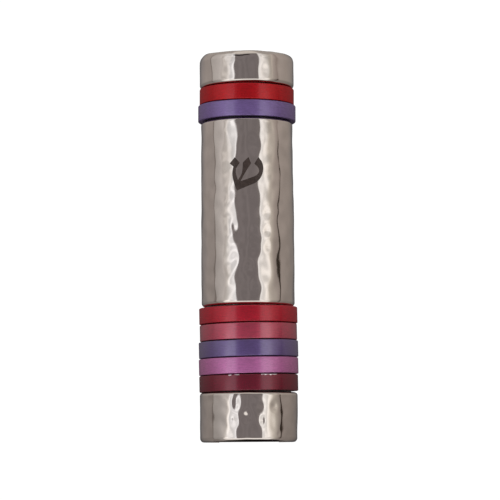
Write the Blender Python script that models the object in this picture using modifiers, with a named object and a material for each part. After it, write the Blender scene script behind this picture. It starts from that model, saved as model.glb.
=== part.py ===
"""A mezuzah case: hammered metal sleeves and coloured rings stacked on a tube with a flat back.

The case is fixed upright on a doorpost by a strip of tape on its back. A rubber stopper closes
the tube at the bottom. The rolled parchment stands on the stopper, and comes out with it.

Frame: metres, +Z up. The doorpost's face is the plane y = 0, and the case is in front of it,
towards -Y. The origin is the centre of the tape's back face, half way up the case.
Inside the script, pieces are children of the empty case_frame, which stands on the tube's axis
at the bottom of the case. Their z is then the height above the bottom, and their x and y are
measured from the axis.
"""

import math

import bmesh
import bpy
from mathutils import Vector
from mathutils.geometry import interpolate_bezier

MM = 0.001

# The stack of sleeves and rings, from the bottom up.
BASE_HEIGHT = 14.0 * MM
RING_HEIGHT = 4.5 * MM
BODY_HEIGHT = 52.7 * MM
CAP_HEIGHT = 9.1 * MM
STACK_GAP = 0.3 * MM
LOWER_RINGS = (
    # name, outer radius, colour
    ("lower_ring_burgundy", 14.0 * MM, (0.17, 0.035, 0.055)),
    ("lower_ring_orchid", 14.1 * MM, (0.37, 0.14, 0.31)),
    ("lower_ring_indigo", 14.1 * MM, (0.14, 0.10, 0.26)),
    ("lower_ring_rose", 13.8 * MM, (0.38, 0.09, 0.13)),
    ("lower_ring_red", 13.95 * MM, (0.31, 0.035, 0.05)),
)
UPPER_RINGS = (
    ("upper_ring_violet", 13.95 * MM, (0.16, 0.11, 0.25)),
    ("upper_ring_red", 13.5 * MM, (0.32, 0.025, 0.035)),
)

# Outer radii of the hammered pieces, and the bore that all the stacked pieces share.
BASE_RADIUS = 13.85 * MM
BODY_RADIUS = 13.2 * MM
CAP_RADIUS = 13.5 * MM
STACK_BORE = 12.2 * MM
CAP_ROOF = 1.6 * MM
CAP_FILLET = 1.3 * MM
CAP_LIP_FILLET = 0.6 * MM
SLEEVE_FILLET = 0.8 * MM
BASE_FOOT_FILLET = 1.0 * MM
RING_CHAMFER = 0.2 * MM

# The tube that carries the stack: round in front, flat behind. Its back stands proud of the
# milled backs of the stacked pieces, so that only the tube and its tape meet the doorpost.
CORE_RADIUS = 12.0 * MM
CORE_WALL = 1.2 * MM
CORE_BACK = 9.0 * MM
CORE_FOOT = 3.6 * MM
CORE_ROOF_GAP = 0.2 * MM
STACK_BACK = 8.7 * MM

# Tape on the tube's flat back.
TAPE_THICKNESS = 0.9 * MM
TAPE_WIDTH = 12.0 * MM
TAPE_LENGTH = 92.0 * MM
TAPE_GAP = 0.02 * MM

# Rubber stopper: a flange under the tube's end, a ribbed plug inside it, and a bar to pull.
FLANGE_RADIUS = 11.8 * MM
FLANGE_BACK = 8.5 * MM
FLANGE_BOTTOM = 1.7 * MM
FLANGE_THICKNESS = 1.6 * MM
FLANGE_EDGE = 0.3 * MM
PLUG_RADIUS = 10.4 * MM
PLUG_BACK = 7.4 * MM
PLUG_HEIGHT = 8.0 * MM
RIB_RISE = 0.25 * MM
RIB_HEIGHT = 1.2 * MM
RIB_COUNT = 3
CUP_RADIUS = 6.6 * MM
CUP_DEPTH = 4.0 * MM
GRIP_LENGTH = 13.0 * MM
GRIP_WIDTH = 2.6 * MM
GRIP_BOTTOM = 0.4 * MM
GRIP_EDGE = 0.5 * MM

# Rolled parchment: a square sheet, rolled up along one side.
SHEET_SIDE = 80.0 * MM
SHEET_THICKNESS = 0.3 * MM
SCROLL_TURNS = 3.0
SCROLL_PITCH = 0.75 * MM
SCROLL_REST_GAP = 0.1 * MM
SCROLL_BACK = -1.2 * MM

# The letter shin, let into the front of the body sleeve and filled with black enamel.
SHIN_HEIGHT = 74.9 * MM
SHIN_X = -0.2 * MM
POCKET_DEPTH = 0.5 * MM
INLAY_DEPTH = 0.42 * MM
INLAY_CLEARANCE = 0.06 * MM

CIRCLE_STEPS = 64
FILLET_STEPS = 3
SPIRAL_STEPS = 20
CURVE_STEPS = 4
SHARP_ANGLE = math.radians(35)
MERGE_DISTANCE = 0.00001
CUTTER_REACH = 20.0 * MM

CASE_HEIGHT = (
    BASE_HEIGHT
    + len(LOWER_RINGS) * RING_HEIGHT
    + BODY_HEIGHT
    + len(UPPER_RINGS) * RING_HEIGHT
    + CAP_HEIGHT
    + (len(LOWER_RINGS) + len(UPPER_RINGS) + 2) * STACK_GAP
)
CORE_TOP = CASE_HEIGHT - CAP_ROOF - CORE_ROOF_GAP
AXIS_DEPTH = CORE_BACK + TAPE_GAP + TAPE_THICKNESS

NICKEL = ("hammered_nickel", (0.55, 0.50, 0.46), 0.12, 1.0)
ALUMINIUM = ("tube_aluminium", (0.60, 0.60, 0.61), 0.35, 1.0)
ENAMEL = ("black_enamel", (0.03, 0.022, 0.02), 0.55, 0.0)
RUBBER = ("black_rubber", (0.025, 0.025, 0.027), 0.7, 0.0)
PARCHMENT = ("parchment", (0.80, 0.70, 0.52), 0.75, 0.0)
FOAM_TAPE = ("foam_tape", (0.85, 0.85, 0.83), 0.8, 0.0)
RING_ROUGHNESS = 0.38

# The outline of the letter, in millimetres from its centre, anticlockwise from the left head.
# A point marked True is a corner, and the outline runs smoothly through the others.
SHIN_OUTLINE = (
    (-3.3, 4.7, True),
    (-4.7, 3.0, True),
    (-3.7, 2.1, True),
    (-4.0, 0.0, False),
    (-3.5, -2.7, False),
    (-2.7, -4.7, True),
    (0.0, -3.6, False),
    (2.7, -2.4, False),
    (4.1, -0.8, False),
    (4.7, 1.4, False),
    (4.4, 3.2, False),
    (3.4, 4.7, True),
    (2.2, 2.8, True),
    (3.2, 1.8, False),
    (3.5, 0.7, False),
    (2.8, -0.4, False),
    (1.0, -1.2, False),
    (-1.7, -2.1, True),
    (-0.2, 0.6, False),
    (1.3, 2.9, True),
    (0.6, 4.7, True),
    (-1.0, 3.2, True),
    (-1.3, 0.3, False),
    (-2.4, -1.8, True),
    (-3.0, 0.1, False),
    (-3.0, 1.5, True),
    (-1.9, 3.1, True),
)


# Scene and objects


def clear_scene():
    for thing in list(bpy.data.objects):
        bpy.data.objects.remove(thing, do_unlink=True)


def new_collection(name):
    collection = bpy.data.collections.new(name)
    bpy.context.scene.collection.children.link(collection)
    return collection


def new_material(name, colour, roughness, metallic):
    found = bpy.data.materials.get(name)
    if found:
        return found
    material = bpy.data.materials.new(name)
    material.use_nodes = True
    shader = material.node_tree.nodes["Principled BSDF"]
    shader.inputs["Base Color"].default_value = (*colour, 1.0)
    shader.inputs["Roughness"].default_value = roughness
    shader.inputs["Metallic"].default_value = metallic
    material.diffuse_color = (*colour, 1.0)
    return material


def place(name, data, location):
    """An object of this data on the case's frame, in the collection of parts."""
    piece = bpy.data.objects.new(name, data)
    parts.objects.link(piece)
    piece.parent = case_frame
    piece.location = location
    return piece


def as_cutter(piece):
    """Keeps a shape that only cuts others out of the render and out of the parts."""
    parts.objects.unlink(piece)
    cutters.objects.link(piece)
    piece.hide_render = True
    piece.display_type = "WIRE"
    return piece


def boolean(piece, operation, other):
    modifier = piece.modifiers.new(f"{operation.lower()} {other.name}", "BOOLEAN")
    modifier.operation = operation
    modifier.object = other


def finish(piece, look):
    """Applies the piece's modifiers, shades it smooth up to its sharp edges, and paints it."""
    bpy.context.view_layer.update()
    graph = bpy.context.evaluated_depsgraph_get()
    mesh = bpy.data.meshes.new_from_object(piece.evaluated_get(graph))
    piece.modifiers.clear()
    piece.data = mesh
    mesh.shade_smooth()
    mesh.set_sharp_from_angle(angle=SHARP_ANGLE)
    mesh.materials.clear()
    mesh.materials.append(new_material(*look))
    return piece


# Shapes


def corner(centre_x, centre_z, radius, start, end):
    """Points of a rounded corner in a profile, from one angle to the other, in degrees."""
    return [
        (
            centre_x + radius * math.cos(math.radians(start + (end - start) * i / FILLET_STEPS)),
            centre_z + radius * math.sin(math.radians(start + (end - start) * i / FILLET_STEPS)),
        )
        for i in range(FILLET_STEPS + 1)
    ]


def turned(name, profile, location, closed=True):
    """Turns a profile of (radius, height) points, which runs down its outer side."""
    mesh = bpy.data.meshes.new(name)
    count = len(profile)
    edges = [(i, (i + 1) % count) for i in range(count if closed else count - 1)]
    mesh.from_pydata([(radius, 0.0, height) for radius, height in profile], edges, [])
    piece = place(name, mesh, location)
    screw = piece.modifiers.new("turn", "SCREW")
    screw.axis = "Z"
    screw.angle = math.tau
    screw.steps = CIRCLE_STEPS
    screw.render_steps = CIRCLE_STEPS
    screw.use_merge_vertices = True
    screw.merge_threshold = MERGE_DISTANCE
    return piece


def box(name, low, high):
    """A box between two corners, with its origin at its centre."""
    size = Vector(high) - Vector(low)
    mesh = bpy.data.meshes.new(name)
    shape = bmesh.new()
    bmesh.ops.create_cube(shape, size=1.0)
    bmesh.ops.scale(shape, vec=size, verts=shape.verts)
    shape.to_mesh(mesh)
    shape.free()
    return place(name, mesh, (Vector(low) + Vector(high)) / 2)


def cylinder_cutter(name, radius, bottom, top, y=0.0):
    mesh = bpy.data.meshes.new(name)
    shape = bmesh.new()
    bmesh.ops.create_cone(
        shape,
        cap_ends=True,
        segments=CIRCLE_STEPS,
        radius1=radius,
        radius2=radius,
        depth=top - bottom,
    )
    shape.to_mesh(mesh)
    shape.free()
    return as_cutter(place(name, mesh, (0.0, y, (bottom + top) / 2)))


def extruded(name, outlines, depth, location, rotation=(0.0, 0.0, 0.0)):
    """A closed mesh of this depth from flat outlines. An outline inside another is a hole."""
    curve = bpy.data.curves.new(name, "CURVE")
    curve.dimensions = "2D"
    curve.fill_mode = "BOTH"
    curve.extrude = depth / 2
    for outline in outlines:
        spline = curve.splines.new("POLY")
        spline.points.add(len(outline) - 1)
        for point, (x, y) in zip(spline.points, outline):
            point.co = (x, y, 0.0, 1.0)
        spline.use_cyclic_u = True
    drawn = place(name + "_outline", curve, location)
    drawn.rotation_euler = rotation
    bpy.context.view_layer.update()
    graph = bpy.context.evaluated_depsgraph_get()
    mesh = bpy.data.meshes.new_from_object(drawn.evaluated_get(graph))
    mesh.name = name
    shape = bmesh.new()
    shape.from_mesh(mesh)
    bmesh.ops.remove_doubles(shape, verts=shape.verts, dist=MERGE_DISTANCE)
    bmesh.ops.recalc_face_normals(shape, faces=shape.faces)
    shape.to_mesh(mesh)
    shape.free()
    piece = place(name, mesh, location)
    piece.rotation_euler = rotation
    bpy.data.objects.remove(drawn, do_unlink=True)
    return piece


def d_outline(radius, back):
    """A circle about the axis with its back cut flat at y = back."""
    start = math.asin(back / radius)
    sweep = math.pi + 2 * start
    steps = round(CIRCLE_STEPS * sweep / math.tau)
    return [
        (
            radius * math.cos(start - sweep * i / steps),
            radius * math.sin(start - sweep * i / steps),
        )
        for i in range(steps + 1)
    ]


def spiral_outline():
    """The edge of the rolled sheet: out along its outer face and back along its inner one."""
    mean_radius = SHEET_SIDE / (math.tau * SCROLL_TURNS)
    first_radius = mean_radius - SCROLL_PITCH * SCROLL_TURNS / 2
    count = round(SCROLL_TURNS * SPIRAL_STEPS)
    outer, inner = [], []
    for i in range(count + 1):
        turn = i / SPIRAL_STEPS
        radius = first_radius + SCROLL_PITCH * turn
        across = Vector((math.cos(math.tau * turn), math.sin(math.tau * turn)))
        outer.append(tuple(across * (radius + SHEET_THICKNESS / 2)))
        inner.append(tuple(across * (radius - SHEET_THICKNESS / 2)))
    return outer + inner[::-1]


def shin_points():
    """The letter's outline in metres, with its smooth stretches as short straight steps."""
    knots = [Vector((x * MM, y * MM)) for x, y, _ in SHIN_OUTLINE]
    corners = [is_corner for _, _, is_corner in SHIN_OUTLINE]
    count = len(knots)
    points = []
    for i in range(count):
        here, there = knots[i], knots[(i + 1) % count]
        reach = (there - here).length / 3
        leaving = here + (there - here) / 3
        if not corners[i]:
            leaving = here + (there - knots[i - 1]).normalized() * reach
        arriving = there - (there - here) / 3
        if not corners[(i + 1) % count]:
            beyond = knots[(i + 2) % count]
            arriving = there - (beyond - here).normalized() * reach
        straight = corners[i] and corners[(i + 1) % count]
        steps = 1 if straight else CURVE_STEPS
        points += interpolate_bezier(here, leaving, arriving, there, steps + 1)[:-1]
    return [point.to_2d() for point in points]


def offset_outline(points, distance):
    """Moves an anticlockwise outline's sides outwards by the distance."""
    moved = []
    for i, point in enumerate(points):
        before = (point - points[i - 1]).normalized()
        after = (points[(i + 1) % len(points)] - point).normalized()
        out_before = Vector((before.y, -before.x))
        out_after = Vector((after.y, -after.x))
        middle = out_before + out_after
        moved.append(point + middle * (distance / max(middle.dot(out_after), 0.5)))
    return moved


# The object's pieces


def sleeve_profile(radius, height, top_fillet, foot_fillet):
    """An open sleeve with its outer edges rounded."""
    return [
        (STACK_BORE, height),
        *corner(radius - top_fillet, height - top_fillet, top_fillet, 90, 0),
        *corner(radius - foot_fillet, foot_fillet, foot_fillet, 0, -90),
        (STACK_BORE, 0.0),
    ]


def add_ring(name, radius, colour, height):
    profile = [
        (STACK_BORE, RING_HEIGHT),
        (radius - RING_CHAMFER, RING_HEIGHT),
        (radius, RING_HEIGHT - RING_CHAMFER),
        (radius, RING_CHAMFER),
        (radius - RING_CHAMFER, 0.0),
        (STACK_BORE, 0.0),
    ]
    ring = turned(name, profile, (0.0, 0.0, height))
    boolean(ring, "DIFFERENCE", back_mill)
    finish(ring, (name, colour, RING_ROUGHNESS, 1.0))


def add_base_sleeve():
    profile = sleeve_profile(BASE_RADIUS, BASE_HEIGHT, SLEEVE_FILLET, BASE_FOOT_FILLET)
    sleeve = turned("base_sleeve", profile, (0.0, 0.0, 0.0))
    boolean(sleeve, "DIFFERENCE", back_mill)
    finish(sleeve, NICKEL)


def add_body_sleeve(height, pocket_cutter):
    profile = sleeve_profile(BODY_RADIUS, BODY_HEIGHT, SLEEVE_FILLET, SLEEVE_FILLET)
    sleeve = turned("body_sleeve", profile, (0.0, 0.0, height))
    boolean(sleeve, "DIFFERENCE", back_mill)
    boolean(sleeve, "DIFFERENCE", pocket_cutter)
    finish(sleeve, NICKEL)


def add_top_cap(height):
    """A cup that closes the top of the tube."""
    top_x, top_z = CAP_RADIUS - CAP_FILLET, CAP_HEIGHT - CAP_FILLET
    profile = [
        (0.0, CAP_HEIGHT),
        *corner(top_x, top_z, CAP_FILLET, 90, 0),
        *corner(CAP_RADIUS - CAP_LIP_FILLET, CAP_LIP_FILLET, CAP_LIP_FILLET, 0, -90),
        (STACK_BORE, 0.0),
        (STACK_BORE, CAP_HEIGHT - CAP_ROOF),
        (0.0, CAP_HEIGHT - CAP_ROOF),
    ]
    cap = turned("top_cap", profile, (0.0, 0.0, height), closed=False)
    boolean(cap, "DIFFERENCE", back_mill)
    finish(cap, NICKEL)


def add_core_tube():
    outlines = (
        d_outline(CORE_RADIUS, CORE_BACK),
        d_outline(CORE_RADIUS - CORE_WALL, CORE_BACK - CORE_WALL),
    )
    length = CORE_TOP - CORE_FOOT
    tube = extruded("core_tube", outlines, length, (0.0, 0.0, CORE_FOOT + length / 2))
    finish(tube, ALUMINIUM)


def add_mounting_tape():
    front = CORE_BACK + TAPE_GAP
    low = (-TAPE_WIDTH / 2, front, (CASE_HEIGHT - TAPE_LENGTH) / 2)
    high = (TAPE_WIDTH / 2, front + TAPE_THICKNESS, (CASE_HEIGHT + TAPE_LENGTH) / 2)
    finish(box("mounting_tape", low, high), FOAM_TAPE)


def stopper_profile():
    """The flange below and the plug with its ribs above, from the top of the plug down."""
    plug_foot = FLANGE_BOTTOM + FLANGE_THICKNESS
    plug_top = plug_foot + PLUG_HEIGHT
    rib_spacing = PLUG_HEIGHT / RIB_COUNT
    profile = [(0.0, plug_top), (PLUG_RADIUS - RIB_RISE, plug_top)]
    for i in range(RIB_COUNT):
        middle = plug_top - rib_spacing * (i + 0.5)
        profile += [
            (PLUG_RADIUS - RIB_RISE, middle + RIB_HEIGHT / 2),
            (PLUG_RADIUS, middle),
            (PLUG_RADIUS - RIB_RISE, middle - RIB_HEIGHT / 2),
        ]
    profile += [
        (PLUG_RADIUS - RIB_RISE, plug_foot),
        (FLANGE_RADIUS - FLANGE_EDGE, plug_foot),
        (FLANGE_RADIUS, plug_foot - FLANGE_EDGE),
        (FLANGE_RADIUS, FLANGE_BOTTOM + FLANGE_EDGE),
        (FLANGE_RADIUS - FLANGE_EDGE, FLANGE_BOTTOM),
        (0.0, FLANGE_BOTTOM),
    ]
    return profile


def add_stopper():
    """The stopper's origin is on the tube's axis, along which it is pulled."""
    plug_foot = FLANGE_BOTTOM + FLANGE_THICKNESS
    plug_top = plug_foot + PLUG_HEIGHT
    stopper = turned("stopper", stopper_profile(), (0.0, 0.0, 0.0), closed=False)
    reach = CUTTER_REACH
    flange_mill = box(
        "flange_mill", (-reach, FLANGE_BACK, -reach), (reach, reach, plug_top + reach)
    )
    plug_mill = box(
        "plug_mill", (-reach, PLUG_BACK, plug_foot), (reach, reach + 1 * MM, plug_top + reach)
    )
    cup_cutter = cylinder_cutter(
        "cup_cutter", CUP_RADIUS, plug_top - CUP_DEPTH, plug_top + reach, SCROLL_BACK
    )
    grip = box(
        "grip_bar",
        (-GRIP_LENGTH / 2, -GRIP_WIDTH / 2, GRIP_BOTTOM),
        (GRIP_LENGTH / 2, GRIP_WIDTH / 2, FLANGE_BOTTOM + FLANGE_THICKNESS / 2),
    )
    rounding = grip.modifiers.new("rounding", "BEVEL")
    rounding.width = GRIP_EDGE
    rounding.segments = 2
    boolean(stopper, "DIFFERENCE", as_cutter(flange_mill))
    boolean(stopper, "DIFFERENCE", as_cutter(plug_mill))
    boolean(stopper, "DIFFERENCE", cup_cutter)
    boolean(stopper, "UNION", as_cutter(grip))
    return finish(stopper, RUBBER)


def add_scroll(stopper):
    """The rolled parchment stands in the stopper's cup and is carried by it."""
    cup_floor = FLANGE_BOTTOM + FLANGE_THICKNESS + PLUG_HEIGHT - CUP_DEPTH
    middle = cup_floor + SCROLL_REST_GAP + SHEET_SIDE / 2
    scroll = extruded("scroll", [spiral_outline()], SHEET_SIDE, (0.0, SCROLL_BACK, middle))
    finish(scroll, PARCHMENT)
    scroll.parent = stopper


def shin_prism(name, growth):
    """The letter as a solid that passes through the front wall of the body sleeve."""
    return extruded(
        name,
        [offset_outline(shin_points(), growth)],
        4 * POCKET_DEPTH,
        (SHIN_X, -BODY_RADIUS, SHIN_HEIGHT),
        (math.pi / 2, 0.0, 0.0),
    )


def add_shin():
    """Makes the enamel letter, and returns the cutter of the pocket that it fills."""
    low, high = SHIN_HEIGHT - CUTTER_REACH, SHIN_HEIGHT + CUTTER_REACH
    pocket_floor = cylinder_cutter("pocket_floor", BODY_RADIUS - POCKET_DEPTH, low, high)
    inlay_floor = cylinder_cutter("inlay_floor", BODY_RADIUS - INLAY_DEPTH, low, high)
    inlay_face = cylinder_cutter("inlay_face", BODY_RADIUS, low, high)
    pocket = as_cutter(shin_prism("shin_pocket", 0.0))
    boolean(pocket, "DIFFERENCE", pocket_floor)
    inlay = shin_prism("shin_inlay", -INLAY_CLEARANCE)
    boolean(inlay, "INTERSECT", inlay_face)
    boolean(inlay, "DIFFERENCE", inlay_floor)
    finish(inlay, ENAMEL)
    return pocket


def add_stack():
    """Threads the sleeves and rings on the tube, one above the other."""
    pocket = add_shin()
    height = 0.0
    add_base_sleeve()
    height += BASE_HEIGHT + STACK_GAP
    for name, radius, colour in LOWER_RINGS:
        add_ring(name, radius, colour, height)
        height += RING_HEIGHT + STACK_GAP
    add_body_sleeve(height, pocket)
    height += BODY_HEIGHT + STACK_GAP
    for name, radius, colour in UPPER_RINGS:
        add_ring(name, radius, colour, height)
        height += RING_HEIGHT + STACK_GAP
    add_top_cap(height)


clear_scene()
parts = new_collection("mezuzah_case")
cutters = new_collection("mezuzah_case_cutters")
case_frame = bpy.data.objects.new("case_frame", None)
parts.objects.link(case_frame)
case_frame.location = (0.0, -AXIS_DEPTH, -CASE_HEIGHT / 2)

back_mill = as_cutter(
    box(
        "back_mill",
        (-CUTTER_REACH, STACK_BACK, -CUTTER_REACH),
        (CUTTER_REACH, CUTTER_REACH, CASE_HEIGHT + CUTTER_REACH),
    )
)
add_core_tube()
add_mounting_tape()
add_stack()
add_scroll(add_stopper())
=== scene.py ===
"""The looks of the mezuzah case: hammered sleeves, anodised rings, enamel and parchment.

Lengths are in metres. The case hangs by its back, so the floor lies below the reach of the
stopper when it is pulled out. A fine piece is made about the tube's axis and takes its sizes
from the CAD node that it replaces.
"""

import math

import bmesh
import bpy
import numpy as np
from mathutils import Euler, Matrix, Vector
from mathutils.geometry import interpolate_bezier


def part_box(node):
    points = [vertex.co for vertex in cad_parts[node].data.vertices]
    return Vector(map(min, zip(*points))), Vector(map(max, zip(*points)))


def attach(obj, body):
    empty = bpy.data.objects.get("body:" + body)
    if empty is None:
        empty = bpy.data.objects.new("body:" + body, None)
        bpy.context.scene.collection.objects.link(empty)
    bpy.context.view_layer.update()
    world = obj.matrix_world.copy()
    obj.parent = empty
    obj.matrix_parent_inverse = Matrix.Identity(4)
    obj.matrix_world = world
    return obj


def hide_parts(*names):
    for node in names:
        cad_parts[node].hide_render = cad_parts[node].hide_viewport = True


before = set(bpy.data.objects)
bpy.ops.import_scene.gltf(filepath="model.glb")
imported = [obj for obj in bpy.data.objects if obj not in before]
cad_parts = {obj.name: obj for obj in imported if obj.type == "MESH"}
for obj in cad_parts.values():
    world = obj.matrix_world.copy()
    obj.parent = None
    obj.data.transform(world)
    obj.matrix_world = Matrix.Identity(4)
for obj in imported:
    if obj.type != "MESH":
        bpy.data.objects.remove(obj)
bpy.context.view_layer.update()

MM = 0.001

# Camera: a little below the foot of the case, tilted up, with a long lens. Its height is from
# the foot, its pitch and roll are in degrees, and its lens is in millimetres.
CAMERA_DISTANCE = 648 * MM
CAMERA_HEIGHT = -4.1 * MM
CAMERA_SIDE = 0.62 * MM
CAMERA_PITCH = 5.176
CAMERA_ROLL = -0.41
CAMERA_LENS = 164.4

# Surroundings.
FLOOR_DROP = 170 * MM
FLOOR_SIZE = 4.0
FLOOR_GLOW = 0.62

# Fine meshes.
BAND_COLUMNS = 340
RING_COLUMNS = 288
HAMMER_STEP = 0.24 * MM
ARC_STEPS = 8
CUTTER_SEGMENTS = 256
SHARP_ANGLE = math.radians(38)

# Rounded edges. The cap's upper edge is elliptical: its drop is how far down it reaches.
BODY_HEAD_EDGE = 0.8 * MM
BODY_FOOT_EDGE = 1.1 * MM
BASE_HEAD_EDGE = 0.9 * MM
BASE_FOOT_EDGE = 1.2 * MM
CAP_HEAD_EDGE = 0.9 * MM
CAP_HEAD_DROP = 2.0 * MM
CAP_FOOT_EDGE = 1.05 * MM
CAP_HEAD_STEPS = 18
RING_EDGE = 0.28 * MM
RING_SPREAD = 0.04 * MM

# Hammer marks: dents with soft rims, taller than wide. Depth and width are ranges. Rows lie
# MARK_ROW spacings apart, and a mark is shaken by up to MARK_SHAKE spacings. One within
# MARK_ROOM of a chosen blow is left out.
BODY_MARK = dict(spacing=3.7 * MM, depth=(0.05 * MM, 0.13 * MM), width=(1.05 * MM, 1.5 * MM), seed=11)
BASE_MARK = dict(spacing=3.3 * MM, depth=(0.04 * MM, 0.10 * MM), width=(0.85 * MM, 1.2 * MM), seed=5)
CAP_MARK = dict(spacing=4.2 * MM, depth=(0.05 * MM, 0.11 * MM), width=(1.3 * MM, 1.8 * MM), seed=23)
CAP_END_SEED = 30
MARK_TALL = (1.1, 1.6)
MARK_ROOM = 2.2 * MM
MARK_SHAKE = 0.34
MARK_ROW = 0.87
POINTS_AT_ONCE = 8000

# Chosen blows: degrees from the front towards +X, then millimetres above the piece's lower
# edge, deep and wide, then how much taller than wide.
BASE_BLOWS = (
    (-15.1, 10.8, 0.19, 0.85, 1.7),
    (-17.8, 5.9, 0.13, 1.00, 1.4),
    (-18.4, 6.4, 0.035, 0.28, 1.6),
    (-10.5, 2.6, 0.07, 0.80, 1.5),
    (-3.0, 6.9, 0.31, 0.76, 1.25),
    (-1.0, 8.6, 0.05, 0.40, 1.2),
    (5.5, 10.8, 0.06, 0.80, 1.4),
    (7.0, 3.2, 0.07, 0.80, 1.9),
    (12.8, 9.6, 0.10, 0.95, 1.2),
    (15.7, 5.9, 0.10, 0.55, 1.8),
    (30.8, 9.9, 0.17, 0.90, 1.1),
    (28.5, 4.4, 0.09, 1.10, 1.4),
    (36.3, 2.2, 0.035, 0.28, 1.6),
    (40.5, 8.6, 0.06, 0.90, 1.2),
    (41.0, 3.6, 0.05, 0.80, 1.2),
    (88.0, 2.0, 0.28, 3.00, 1.2),
)
CAP_BLOWS = (
    (-62.0, 9.1, -0.18, 2.20, 1.0),
    (-21.5, 7.3, 0.10, 0.90, 1.0),
    (-8.0, 8.3, 0.10, 1.20, 0.9),
    (-11.5, 4.3, 0.07, 1.20, 1.2),
    (-27.0, 2.4, 0.09, 1.20, 1.2),
    (13.0, 6.6, 0.05, 1.20, 1.2),
    (22.5, 3.4, 0.10, 1.00, 1.4),
)
BODY_BLOWS = (
    (-16.6, 21.8, 0.14, 0.85, 1.7),
    (-16.4, 12.9, 0.12, 0.85, 1.7),
    (24.0, 25.8, 0.11, 0.85, 1.4),
    (24.2, 20.7, 0.12, 0.80, 1.3),
    (25.0, 16.2, 0.10, 0.80, 1.4),
    (88.0, 50.0, 0.28, 3.00, 3.0),
    (-88.0, 45.0, 0.12, 3.00, 3.0),
)

# The enamel letter and its pocket.
POCKET_DEPTH = 0.5 * MM
INLAY_DEPTH = 0.42 * MM
INLAY_CLEARANCE = 0.02 * MM
ENAMEL_DROP = 0.05 * MM
SHIN_REACH = 1.0 * MM
SHIN_PATCH_ANGLE = math.radians(26)
SHIN_CURVE_STEPS = 8
SHIN_OUTLINE = (
    # x and z in millimetres from the letter's centre, anticlockwise; True marks a corner
    (-3.3, 4.7, True),
    (-4.7, 3.0, True),
    (-3.7, 2.1, True),
    (-4.0, 0.0, False),
    (-3.5, -2.7, False),
    (-2.7, -4.7, True),
    (0.0, -3.6, False),
    (2.7, -2.4, False),
    (4.1, -0.8, False),
    (4.7, 1.4, False),
    (4.4, 3.2, False),
    (3.4, 4.7, True),
    (2.2, 2.8, True),
    (3.2, 1.8, False),
    (3.5, 0.7, False),
    (2.8, -0.4, False),
    (1.0, -1.2, False),
    (-1.7, -2.1, True),
    (-0.2, 0.6, False),
    (1.3, 2.9, True),
    (0.6, 4.7, True),
    (-1.0, 3.2, True),
    (-1.3, 0.3, False),
    (-2.4, -1.8, True),
    (-3.0, 0.1, False),
    (-3.0, 1.5, True),
    (-1.9, 3.1, True),
)

# The cap. Its dents are measured from a level a little below its turned surface.
CAP_STEP = 0.34 * MM
CAP_CHORD_STEPS = 48
CAP_LEVEL = -0.05 * MM
CAP_ROOF = 1.6 * MM

# How far the rings sit askew, in degrees about the line of sight.
RING_TILT = {
    "upper_ring_red": 0.3,
    "upper_ring_violet": 0.3,
    "lower_ring_red": -0.7,
    "lower_ring_rose": -0.9,
    "lower_ring_indigo": -1.0,
    "lower_ring_orchid": -1.0,
    "lower_ring_burgundy": -0.8,
}
RING_FINISH = {
    # the dye's colour, how strongly the oxide shines, and the metal's roughness
    "upper_ring_red": ((0.59, 0.003, 0.010), 0.28, 0.54),
    "upper_ring_violet": ((0.252, 0.160, 0.455), 0.60, 0.56),
    "lower_ring_red": ((0.58, 0.007, 0.033), 0.42, 0.58),
    "lower_ring_rose": ((0.58, 0.032, 0.100), 0.95, 0.52),
    "lower_ring_indigo": ((0.140, 0.076, 0.31), 1.0, 0.52),
    "lower_ring_orchid": ((0.64, 0.190, 0.50), 0.75, 0.55),
    "lower_ring_burgundy": ((0.225, 0.002, 0.028), 0.48, 0.51),
}
DYE_CONTRAST = 0.22
RING_GRAIN = 0.07

# The ring whose upper edge is worn bare in spots, at most WORN_REACH less WORN_LEVEL down. Each
# spot is its x and half length in millimetres.
WORN_RING = "lower_ring_burgundy"
WORN_REACH = 0.9 * MM
WORN_LEVEL = 0.2 * MM
WORN_SPOTS = ((-4.1, 1.5), (5.7, 2.2))

# The stopper. A back is how far behind the tube's axis a flat side lies.
PLUG_RADIUS = 10.4 * MM
PLUG_BACK = 7.4 * MM
PLUG_HEIGHT = 8.0 * MM
PLUG_EDGE = 0.5 * MM
RIB_COUNT = 3
RIB_RISE = 0.25 * MM
RIB_HEIGHT = 1.3 * MM
RIB_STEPS = 10
FLANGE_BACK = 8.5 * MM
FLANGE_THICKNESS = 1.6 * MM
FLANGE_EDGE = 0.4 * MM
CUP_RADIUS = 6.6 * MM
CUP_DEPTH = 4.0 * MM
CUP_MOUTH = 0.35 * MM
GRIP_DROP = 1.3 * MM
GRIP_LENGTH = 13.0 * MM
GRIP_WIDTH = 2.6 * MM
GRIP_EDGE = 0.6 * MM
OUTLINE_STEPS = 160
CHORD_STEPS = 24

# The parchment.
SHEET_THICKNESS = 0.3 * MM
SCROLL_TURNS = 3.0
SCROLL_PITCH = 0.75 * MM
SCROLL_BACK = -1.2 * MM
SCROLL_COLUMNS = 300
SCROLL_ROWS = 40
SCROLL_WAVE = 0.05 * MM

# The tape's rounded edge, and how far in front of the tube's flat back the painted shade on the
# tube's round front stops.
TAPE_EDGE = 0.12 * MM
PAINTED_SHADE_EDGE = 0.5 * MM


# Reading the frame


def measure(node):
    """A turned node's axis, radius, bottom and top, and how far behind the axis its back is cut."""
    low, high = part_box(node)
    radius = (high.x - low.x) / 2
    axis = Vector(((low.x + high.x) / 2, low.y + radius, 0.0))
    return dict(axis=axis, radius=radius, bottom=low.z, top=high.z, back=high.y - axis.y)


BODY = measure("body_sleeve")
AXIS = BODY["axis"]
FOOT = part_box("base_sleeve")[0].z
BORE = 12.2 * MM


# Node trees


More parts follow.
